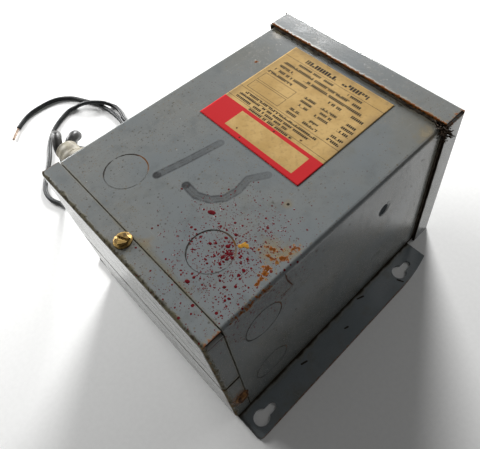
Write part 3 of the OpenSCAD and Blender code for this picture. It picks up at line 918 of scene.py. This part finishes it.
@dataclass
class CoverScrews:
    """Slotted hexagon screws with a flange that hold the bottom covers, in millimetres."""

    flange_r: float = 4.4
    flange_t: float = 0.6
    flat_r: float = 2.95
    height: float = 2.0
    slot_half: float = 0.55
    slot_deep: float = 0.75
    slot_slope: float = 0.12
    bevel: float = 0.3
    fillet: float = 0.1
    rim: Spot = (0.25, 0.2)
    top_share: float = 0.92
    sides: int = 144
    head_rows: int = 18
    turn: float = 0.45

    def head(self) -> np.ndarray:
        """Head standing on the plane of its flange, along Z, and turned.

        The radius is that of a hexagon, which is the flat's distance over the cosine of the angle from
        the nearest flat, up to the flange and a circle from there; the slot lowers the top face where
        the distance across lies within its half width.
        """
        angle = turns(self.sides)
        hexagon = self.flat_r / np.cos((angle + np.pi / 6) % (np.pi / 3) - np.pi / 6)
        rows = [(share * hexagon, self.height) for share in np.linspace(0.0, self.top_share, self.head_rows)]
        rows += [(hexagon, self.height - self.bevel), (hexagon, self.flange_t + self.fillet),
                 (hexagon + self.fillet, self.flange_t), (self.flange_r - self.rim[0], self.flange_t),
                 (self.flange_r, self.flange_t - self.rim[1]), (self.flange_r, 0.0), (0.0, 0.0)]
        radius, level = (np.stack([row[i] + 0 * angle for row in rows]) for i in range(2))
        x, y = radius * np.cos(angle), radius * np.sin(angle)
        cut = np.clip((self.slot_half + self.slot_slope - np.abs(y)) / self.slot_slope, 0.0, 1.0)
        z = level - np.where(level > self.height / 2, cut * self.slot_deep, 0.0)
        cosine, sine = np.cos(self.turn), np.sin(self.turn)
        return np.stack([x * cosine - y * sine, x * sine + y * cosine, z], axis=-1)

    def build(self) -> None:
        """Sets one screw in the front band and one in each side band."""
        head = self.head() * MM
        sideways = head[..., (2, 0, 1)]
        brass = PlainCoat("yellow_zinc", (0.34, 0.22, 0.065), (0.09, 0.055, 0.018), 0.42, 420.0, 1400.0, 0.8)
        front = np.asarray(LAYOUT.on_front(*LAYOUT.front_screw)) + head
        grid_piece("cover_screw_front", front[None], True, brass.build(), "copper")
        rusty = PlainCoat("rusted_zinc", (0.26, 0.12, 0.03), (0.06, 0.022, 0.008), 0.6, 420.0, 1400.0, 0.3)
        right = np.asarray(LAYOUT.on_right(*LAYOUT.side_screw))
        left = np.array([LAYOUT.left, *right[1:]])
        both = np.stack([right + sideways, left + sideways * (-1, 1, 1)])
        grid_piece("cover_screws_side", both, True, rusty.build(), "copper")


@dataclass
class KnockoutScores:
    """Paint that bridges the cuts round the five knockouts, in millimetres."""

    inner_r: float = 10.72
    outer_r: float = 11.08
    below: float = 0.1
    deep: float = 0.6
    sides: int = 120

    def build(self) -> None:
        """Builds a ring in each cut, just under the face.

        A ring's points are its middle plus the radius times the cosine and sine of the turn on the two
        directions of the face, less the depth along the face's normal.
        """
        angle = turns(self.sides)
        radius = np.array([self.inner_r, self.outer_r, self.outer_r, self.inner_r, self.inner_r])
        depth = np.array([self.below, self.below, self.deep, self.deep, self.below])
        x, y, z = np.eye(3)
        rings = []
        for node in sorted(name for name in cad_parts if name.startswith("knockout_")):
            low, high = (np.asarray(corner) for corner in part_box(node))
            middle = (low + high) / 2
            outward, one = (z, x) if "front" in node else (np.sign(middle[0]) * x, z)
            face = middle + outward * (np.abs(outward) @ (high - low)) / 2
            around = np.cos(angle)[:, None] * one + np.sin(angle)[:, None] * y
            rings.append(face + MM * (radius[:, None, None] * around - depth[:, None, None] * outward))
        turn = np.broadcast_to(angle / (2 * np.pi), (len(rings), len(radius), self.sides))
        grid_piece("knockout_scores", np.stack(rings), True, ScoredPaint().build(), "enamel",
                   np.stack([turn, turn], axis=-1))


@dataclass
class PaintDrops:
    """Raised drops of dark-red paint on the front, and one ochre chip, in millimetres.

    A drop's row has its place across and up, its radius, its length over its width, and its turn,
    which is drawn at random for the red ones.
    """

    seed: int = 41
    count: int = 420
    columns: int = 9
    spread: float = 17.0
    least_r: float = 0.15
    more_r: float = 0.13
    most_r: float = 0.7
    seam_up: float = 10.3
    seam_clear: float = 1.0
    score_r: float = 11.0
    score_clear: float = 0.8
    flat: float = 0.1
    rises: tuple[float, ...] = (0.0, 0.3, 0.62, 0.86, 1.0, 1.0)
    across_limits: Spot = (-20.0, 59.5)
    up_limits: Spot = (3.0, 78.0)
    named: tuple[tuple[float, ...], ...] = (
        (17.1, 43.4, 1.25, 1.7), (36.1, 36.8, 0.95, 1.3), (36.5, 14.1, 0.9, 1.4), (38.4, 31.5, 0.75, 1.2),
        (52.9, 26.5, 0.7, 1.1), (29.3, 32.4, 0.7, 1.3), (30.9, 34.2, 0.65, 1.2), (40.1, 35.3, 0.7, 1.3),
        (35.4, 29.7, 0.6, 1.3), (47.0, 38.5, 0.65, 1.3), (49.8, 33.8, 0.75, 1.3), (54.4, 19.4, 0.65, 1.0),
        (39.8, 29.0, 0.6, 1.2), (29.2, 47.1, 0.6, 1.1))
    chip: tuple[tuple[float, ...], ...] = (
        (40.0, 40.6, 1.0, 1.3, 0.2), (40.7, 42.0, 1.1, 1.3, 0.8), (41.7, 42.6, 0.9, 1.3, 1.5),
        (42.7, 42.4, 0.7, 1.3, 0.4), (40.3, 43.0, 0.6, 1.3, 1.1))

    def domes(self, drops: np.ndarray) -> np.ndarray:
        """Low domes on the front.

        A dome's point is its middle plus the radius times the sine of the rise, stretched along the
        turn; its height is a tenth of the radius times the cosine of the rise, and its floor is closed.
        """
        across, up, size, long, turn = drops.T[:, :, None, None]
        rise = np.array(self.rises)[None, :, None] * np.pi / 2
        out = size * np.sin(rise)
        out[:, -1] = 0.0
        angle = turns(self.columns)[None, None, :]
        lengthwise, sidewise = long * out * np.cos(angle), out * np.sin(angle)
        x = across + lengthwise * np.cos(turn) - sidewise * np.sin(turn)
        y = up + lengthwise * np.sin(turn) + sidewise * np.cos(turn)
        z = self.flat * size * np.cos(rise) + 0 * angle
        return np.stack([x * MM, LAYOUT.bottom + y * MM, LAYOUT.front + z * MM], axis=-1)

    def build(self) -> None:
        """Scatters the drops, keeps them off the seam and the cut round the knockout, and adds the chip."""
        draw = np.random.default_rng(self.seed)
        reach = self.spread * draw.exponential(1.0, self.count)
        turn = draw.uniform(0, 2 * np.pi, self.count)
        across = LAYOUT.spatter[0] + reach * np.cos(turn)
        up = LAYOUT.spatter[1] + reach * np.sin(turn)
        radius = np.minimum(self.least_r + self.more_r * draw.exponential(1.0, self.count), self.most_r)
        cut = np.abs(np.hypot(across - LAYOUT.knockout[0], up - LAYOUT.knockout[1]) - self.score_r)
        clear = (np.abs(up - self.seam_up) > self.seam_clear) & (cut > self.score_clear)
        for value, (low, high) in ((across, self.across_limits), (up, self.up_limits)):
            clear &= (value > low) & (value < high)
        long = draw.uniform(1.0, 1.5, clear.sum())
        drops = np.concatenate([np.column_stack([across[clear], up[clear], radius[clear], long]), self.named])
        drops = np.column_stack([drops, draw.uniform(-0.5, 0.9, len(drops))])
        paint = PlainCoat("dried_red_paint", (0.105, 0.002, 0.006), (0.06, 0.002, 0.004), 0.45, 300.0, 2500.0,
                          specular=0.04)
        grid_piece("red_drops", self.domes(drops), True, paint.build(), "enamel")
        ochre = PlainCoat("ochre_chip", (0.44, 0.23, 0.03), (0.28, 0.13, 0.02), 0.6, 500.0, 1800.0,
                          specular=0.05)
        grid_piece("ochre_flake", self.domes(np.asarray(self.chip)), True, ochre.build(), "enamel")


@dataclass
class SeamGrime:
    """Grime and twigs in the seam under the cap, and dust in the seam above the covers, which along the sides
    also stands in as a painted highlight, in millimetres.
    """

    seed: int = 7
    steps: int = 220
    width: float = 1.05
    proud: float = 0.25
    bead_inset: float = 2.0
    side_ends: Spot = (6.0, 3.0)
    twig_count: int = 16
    twig_half: float = 58.0
    twig_under: Spot = (0.4, 1.6)
    twig_long: Spot = (3.0, 9.0)
    twig_r: Spot = (0.1, 0.2)
    clump_count: int = 110
    clump_place: Place = (0.3, -0.2, -2.4)
    clump_spread: Place = (0.9, 1.0, 2.8)
    clump_long: Spot = (2.0, 5.5)
    clump_r: Spot = (0.16, 0.36)
    fibre_steps: int = 12
    fibre_bend: float = 0.16
    fibre_top: float = 1.9
    dust_and_highlight_deep: float = 0.5
    dust_and_highlight_share: float = 0.46
    dust_and_highlight_inset: float = 3.0
    dust_and_highlight_ends: Spot = (6.0, 5.0)

    def strip(self, start: Place, end: Place, swell: np.ndarray) -> np.ndarray:
        """Octagon carried along a straight path and closed at both ends."""
        swell = np.concatenate([[0.0], swell[1:-1], [0.0]])
        return carried(8, np.linspace(start, end, self.steps), swell, (0, 1, 0))

    def bead(self, start: Place, end: Place, draw: np.random.Generator) -> np.ndarray:
        """Ragged bead along a seam, which swells with smoothed noise."""
        rough = np.convolve(draw.uniform(0.2, 1.0, self.steps + 8), np.ones(5) / 5, "same")[4:-4]
        return self.strip(start, end, self.width * rough * MM)

    def fibre(self, start: np.ndarray, heading: np.ndarray, length: float, radius: float,
              draw: np.random.Generator) -> np.ndarray:
        """Thin bent fibre: a straight run plus two sine waves of random size across it."""
        share = np.linspace(0, 1, self.fibre_steps)[:, None]
        side = unit(np.cross(heading, (0.3, 0.2, 0.9)))
        bend = draw.uniform(-self.fibre_bend, self.fibre_bend, 2)
        wave = bend[0] * np.sin(np.pi * share) + bend[1] * np.sin(2 * np.pi * share)
        path = start + length * (share * heading + wave * side)
        swell = np.full(self.fibre_steps, radius)
        swell[[0, -1]] = 0.0
        return carried(5, path * MM, swell * MM, tuple(np.cross(heading, side)))

    def pack(self, draw: np.random.Generator) -> None:
        """Packs the seam under the cap on the front and both sides."""
        up, front = LAYOUT.skirt - self.proud * MM, LAYOUT.front + self.proud * MM
        left, right = LAYOUT.left - self.proud * MM, LAYOUT.right + self.proud * MM
        inset, (low, short) = self.bead_inset * MM, self.side_ends
        beads = [self.bead((left + inset, up, front), (right - inset, up, front), draw)]
        beads += [self.bead((x, up, low * MM), (x, up, front - short * MM), draw) for x in (right, left)]
        grime_and_shade = PlainCoat("seam_grime", (0.040, 0.026, 0.012), (0.012, 0.008, 0.005), 0.9, 260.0, 1500.0,
                          relief=0.3)
        grid_piece("seam_grime", np.stack(beads), True, grime_and_shade.build(), "inner_steel")

    def litter(self, draw: np.random.Generator) -> None:
        """Scatters twigs along the seam and a clump at its right corner."""
        skirt, face = LAYOUT.skirt / MM, LAYOUT.front / MM
        twigs = [self.fibre(np.array((draw.uniform(-self.twig_half, self.twig_half),
                                      skirt - draw.uniform(*self.twig_under), face + self.proud)),
                            unit(np.array((draw.uniform(-1, 1), draw.uniform(-0.25, 0.1), 0.0))),
                            draw.uniform(*self.twig_long), draw.uniform(*self.twig_r), draw)
                 for _ in range(self.twig_count)]
        corner = np.array((LAYOUT.right / MM + 0.2, skirt - 1.2, face + 0.2))
        clump = [self.fibre(corner + draw.normal(self.clump_place, self.clump_spread),
                            unit(draw.normal(0, 1, 3) * (1.0, 0.8, 0.5)), draw.uniform(*self.clump_long),
                            draw.uniform(*self.clump_r), draw) for _ in range(self.clump_count)]
        fibres = np.stack(twigs + clump)
        fibres[..., 2] = np.minimum(fibres[..., 2], (face + self.fibre_top) * MM)
        twig = PlainCoat("twig_brown", (0.062, 0.036, 0.016), (0.018, 0.011, 0.006), 0.85, 300.0, 1500.0)
        grid_piece("seam_twigs", fibres, True, twig.build(), "inner_steel")

    def lay_dust_and_highlight(self) -> None:
        """Lays dust in the seam above the covers, a little under the front and both sides; along the sides
        the strip is also a painted highlight on the seam's edge.
        """
        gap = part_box("enclosure_wrap")[0].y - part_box("bottom_cover_front")[1].y
        deep, inset, (low, short) = self.dust_and_highlight_deep * MM, self.dust_and_highlight_inset * MM, self.dust_and_highlight_ends
        front = LAYOUT.front - deep
        # Part dust, part painted highlight: the strips along both sides stand in for a light edge on the side
        # seams.
        ends = [((LAYOUT.left + inset, front), (LAYOUT.right - inset, front))]
        ends += [((x, low * MM), (x, LAYOUT.front - short * MM))
                 for x in (LAYOUT.left + deep, LAYOUT.right - deep)]
        swell = np.full(self.steps, self.dust_and_highlight_share * gap)
        strips = [self.strip(*((x, LAYOUT.seam, z) for x, z in pair), swell) for pair in ends]
        dust = PlainCoat("seam_dust_and_highlight", (0.115, 0.108, 0.085), (0.045, 0.040, 0.028), 0.9, 160.0, 1500.0,
                         specular=0.1)
        grid_piece("seam_dust_and_highlight", np.stack(strips), True, dust.build(), "inner_steel")

    def build(self) -> None:
        """Fills both seams."""
        draw = np.random.default_rng(self.seed)
        self.pack(draw)
        self.litter(draw)
        self.lay_dust_and_highlight()


@dataclass
class Leads:
    """Two free leads with boots and bare ends, and the sleeve and bushing they leave by, in millimetres."""

    lead_d: float = 3.4
    boot_r: float = 3.1
    sleeve_r: float = 6.5
    copper_r: float = 1.0
    boot_steps: int = 6
    boot_sides: int = 20
    boot_waist: float = 0.1
    boot_lip: float = 0.7
    lip_share: float = 0.1
    curve_steps: int = 6
    pole: float = 0.02
    sleeve_steps: int = 8
    sleeve_sides: int = 28
    sleeve_wave: float = 0.015
    sleeve_turn: float = 40.0
    route_a: tuple[Place, ...] = (
        (-97, -62.6, 83), (-98, -62.6, 83), (-99, -62.6, 83), (-101, -61, 84), (-104, -57, 83.5),
        (-108, -55, 79), (-113, -55, 73), (-120, -55, 65), (-132, -54, 50), (-144, -48, 33), (-153, -36, 16),
        (-157, -22, 4), (-163, -11, 0), (-171, -5.5, 0), (-181, -2.5, 0), (-195, -2, 0), (-210, -4, 0),
        (-219, -7.5, 0), (-228, -11.5, 0), (-238, -17, 0), (-246, -27, 0), (-248, -40, 0), (-246, -54, 0),
        (-238, -67, 0))
    route_b: tuple[Place, ...] = (
        (-97, -69.4, 83), (-98, -69.4, 83), (-99, -69.4, 83), (-102, -68.5, 84.5), (-106, -66.5, 86),
        (-110, -65, 85), (-115, -65, 81), (-120, -66, 72), (-122, -67, 57), (-122, -71, 40), (-125, -77, 22),
        (-131, -80, 8), (-141, -82, 0), (-150, -85, 0), (-160, -84, 0), (-169, -79, 0), (-187, -66, 0),
        (-201, -58, 0), (-212, -49, 0), (-220, -38, 0), (-225, -26, 0), (-223, -18, 3), (-217, -11, 5.6),
        (-208, -2, 5), (-203, 2.5, 2), (-197, 4, 0), (-189, 3, 0), (-181, 1, 0), (-170, 0, 0))
    tip_a: Place = (-229, -76, 0)
    tip_b: Place = (-158, 0, 0)
    sleeve_route: tuple[Place, ...] = (
        (-57, -58, 86), (-65.9, -58, 86), (-70.9, -58, 86), (-81.5, -62, 84.5), (-87, -66, 83),
        (-92, -66, 83), (-97, -66, 83))
    bushing: tuple[Spot, ...] = (
        (6.7, 0.0), (12.2, 0.0), (13.1, 0.4), (13.4, 1.2), (13.4, 2.4), (10.8, 2.4), (10.8, 4.2), (12.2, 4.2),
        (12.2, 5.3), (10.8, 5.3), (10.8, 8.8), (6.7, 8.8), (6.7, 0.0))
    length_a: float = 0.242
    length_b: float = 0.272
    bushing_sides: int = 48
    strands: int = 7
    strand_turns: float = 1.6
    strand_steps: int = 30
    strand_sides: int = 7

    def path(self, route: Sequence[Place]) -> np.ndarray:
        """Smooth path of a route in metres, with no point lower than the lead's radius."""
        points = smooth_route(np.asarray(route, float), self.curve_steps)
        points[:, 2] = np.maximum(points[:, 2], self.lead_d / 2)
        return points * MM

    def lead(self, name: str, path: np.ndarray, finish: Finish) -> Piece:
        """Round lead along a path, as a curve of one open spline."""
        data = bpy.data.curves.new(name, "CURVE")
        data.dimensions = "3D"
        data.bevel_depth = self.lead_d / 2 * MM
        data.bevel_resolution = 4
        data.use_fill_caps = True
        spline = data.splines.new("POLY")
        spline.points.add(len(path) - 1)
        spline.points.foreach_set("co", np.column_stack([path, np.ones(len(path))]).ravel())
        spline.use_smooth = True
        data.materials.append(finish)
        return seat(bpy.data.objects.new(name, data), "lead_insulation")

    def tube(self, path: np.ndarray, swell: np.ndarray, sides: int, hint: Place) -> np.ndarray:
        """Closed tube along a path, with a pole just past each end."""
        steps = np.array([path[0] - path[1], path[-1] - path[-2]])
        ends = path[[0, -1]] + unit(steps) * self.pole * MM
        longer = np.concatenate([ends[:1], path, ends[1:]])
        return carried(sides, longer, np.concatenate([[0.0], swell, [0.0]]) * MM, hint)

    def boot(self, letter: str, path: np.ndarray, finish: Finish) -> Piece:
        """Moulded boot: a tube that narrows to a lip round the lead at its far end."""
        share = np.linspace(0, 1, len(path))
        lip = self.boot_lip * np.clip((share - 1 + self.lip_share) / self.lip_share, 0, 1)
        swell = self.boot_r * (1 - self.boot_waist * np.sin(np.pi * share)) - lip
        tube = self.tube(path, swell, self.boot_sides, (0.1, 0.35, 1.0))
        piece = grid_piece(f"moulded_boot_{letter}", tube[None], True, finish, "vinyl")
        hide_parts(f"lead_boot_{letter}")
        return piece

    def bare_end(self, letter: str, start: np.ndarray, tip: Place, finish: Finish) -> Piece:
        """Twisted strands: one straight in the middle, and the others on a helix round it."""
        share = np.linspace(0, 1, self.strand_steps)[:, None]
        end = np.asarray((tip[0], tip[1], max(tip[2], self.lead_d / 2))) * MM
        along = unit(end - start)
        one = unit(np.cross(along, (0.0, 0.0, 1.0)))
        two = np.cross(along, one)
        third = self.copper_r / 3
        grids = []
        for index in range(self.strands):
            turn = 2 * np.pi * (self.strand_turns * share + index / (self.strands - 1))
            out = 0.0 if index == self.strands - 1 else 2 * third * MM
            path = start * (1 - share) + end * share + out * (np.cos(turn) * one + np.sin(turn) * two)
            grids.append(self.tube(path, np.full(self.strand_steps, third), self.strand_sides, tuple(two)))
        piece = grid_piece(f"bare_strands_{letter}", np.stack(grids), True, finish, "copper")
        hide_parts(f"conductor_{letter}")
        return piece

    def sleeve_and_bushing(self) -> list[Piece]:
        """Cream sleeve with soft waves, and its bushing turned from a rounded profile."""
        nylon = PlainCoat("cream_nylon", (0.34, 0.31, 0.23), (0.17, 0.145, 0.10), 0.5, 130.0, 900.0).build()
        path = smooth_route(np.asarray(self.sleeve_route, float), self.sleeve_steps) * MM
        wave = 1 + np.cos(self.sleeve_turn * np.linspace(0, 1, len(path)))
        swell = self.sleeve_r * (1 - self.sleeve_wave * wave)
        tube = self.tube(path, swell, self.sleeve_sides, (0.0, 1.0, 0.3))
        sleeve = grid_piece("cream_sleeve", tube[None], True, nylon, "nylon")
        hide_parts("lead_sleeve")
        low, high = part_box("lead_bushing")
        radius, along = np.asarray(self.bushing).T[:, :, None]
        angle = turns(self.bushing_sides)
        middle = np.array([low.x, (low.y + high.y) / 2, (low.z + high.z) / 2])
        grid = np.stack([along + 0 * angle, radius * np.cos(angle), radius * np.sin(angle)], axis=-1)
        bushing = grid_piece("turned_bushing", (middle + grid * MM)[None], True, nylon, "nylon")
        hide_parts("lead_bushing")
        return [sleeve, bushing]

    def build(self) -> None:
        black = PlainCoat("lead_black", (0.011, 0.013, 0.015), (0.026, 0.027, 0.026), 0.34, 180.0, 1200.0,
                          specular=0.3).build()
        vinyl = PlainCoat("vinyl_black", (0.018, 0.018, 0.018), (0.050, 0.048, 0.044), 0.36, 150.0, 1200.0,
                          specular=0.35).build()
        copper = PlainCoat("bare_copper", (0.50, 0.39, 0.31), (0.27, 0.19, 0.14), 0.45, 500.0, 2000.0,
                           0.75).build()
        held = {"a": self.sleeve_and_bushing(), "b": []}
        cut = self.boot_steps * self.curve_steps
        for letter, route, tip, length in (("a", self.route_a, self.tip_a, self.length_a),
                                           ("b", self.route_b, self.tip_b, self.length_b)):
            path = self.path(route)
            boot = self.boot(letter, path[:cut + 1], vinyl)
            lead = self.lead(f"insulated_lead_{letter}", path[cut:], black)
            strands = self.bare_end(letter, path[-1], tip, copper)
            LOG.info("lead %s is %.4f m long", letter,
                     np.linalg.norm(np.diff(path[cut:], axis=0), axis=1).sum())
            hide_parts(f"lead_{letter}")


def main() -> None:
    """Builds the camera, the leads, the other pieces and the studio in order."""
    logging.basicConfig(level=logging.INFO, format="%(message)s")
    PhotoCamera().build()
    Leads().build()
    Enclosure().dress()
    RatingLabel().build()
    CoverScrews().build()
    KnockoutScores().build()
    PaintDrops().build()
    SeamGrime().build()
    Studio().build()


if __name__ == "__main__":
    main()
